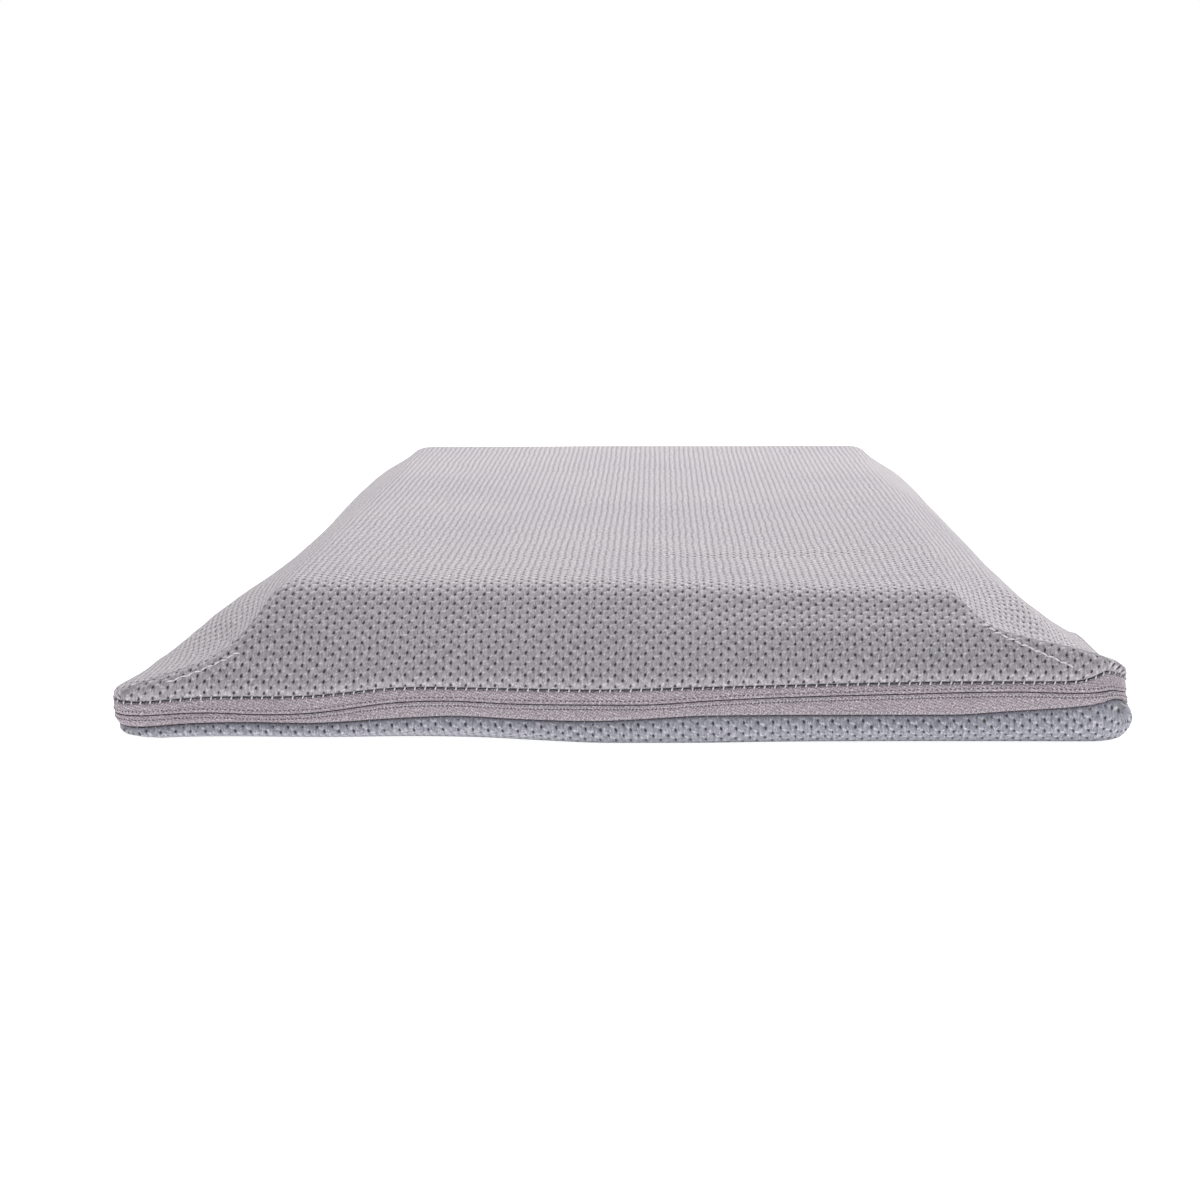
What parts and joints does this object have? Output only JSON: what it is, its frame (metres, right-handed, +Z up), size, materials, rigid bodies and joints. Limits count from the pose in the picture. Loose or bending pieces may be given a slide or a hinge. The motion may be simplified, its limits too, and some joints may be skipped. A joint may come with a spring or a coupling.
{
  "type": "pressure relief pad",
  "caption": "Low tapered foam pad with a flat plateau, in a zipped spacer-mesh cover, with a slider that runs along the side and a pull tab that swings.",
  "frame": {"origin": "centre of the flat underside, on the surface that the pad rests on", "axes": "+Z up, +Y along the pad's length away from the zipped front end, +X to the right seen from the front, the side where the slider is parked"},
  "size_m": [0.4049, 0.6016, 0.062],
  "materials": {
    "cover_mesh": "matte",
    "gusset_fabric": "matte",
    "zip_tape": "matte",
    "zip_coil": "satin",
    "slider_metal": "satin",
    "stitch_thread": "satin",
    "liner_knit": "matte",
    "memory_foam": "matte",
    "support_foam": "matte"
  },
  "bodies": {
    "pad": {"top_cover": "cover_mesh", "bottom_cover": "cover_mesh", "rear_gusset": "gusset_fabric", "zip_tape_upper": "zip_tape", "zip_tape_lower": "zip_tape", "zip_coil_upper": "zip_coil", "zip_coil_lower": "zip_coil", "zip_top_stop_upper": "slider_metal", "zip_top_stop_lower": "slider_metal", "zip_bottom_stop": "slider_metal", "zip_end_tab_right": "gusset_fabric", "zip_end_tab_left": "gusset_fabric", "upper_seam_thread": "stitch_thread", "lower_seam_thread": "stitch_thread", "corner_seam_front_left": "stitch_thread", "corner_seam_front_right": "stitch_thread", "corner_seam_rear_left": "stitch_thread", "corner_seam_rear_right": "stitch_thread", "liner_top": "liner_knit", "liner_bottom": "liner_knit", "memory_foam_layer": "memory_foam", "support_foam_base": "support_foam"},
    "slider": {"zip_slider": "slider_metal"},
    "pull": {"zip_pull": "slider_metal"}
  },
  "joints": [
    {"name": "zip_slide", "type": "slide", "parent": "pad", "child": "slider", "axis": [0, -1, 0], "range_m": [0, 0.07]},
    {"name": "zip_pull_swing", "type": "hinge", "parent": "slider", "child": "pull", "pos_m": [0.2021, -0.1885, 0.014], "axis": [0, 0, 1], "range_deg": [0, 175]}
  ]
}
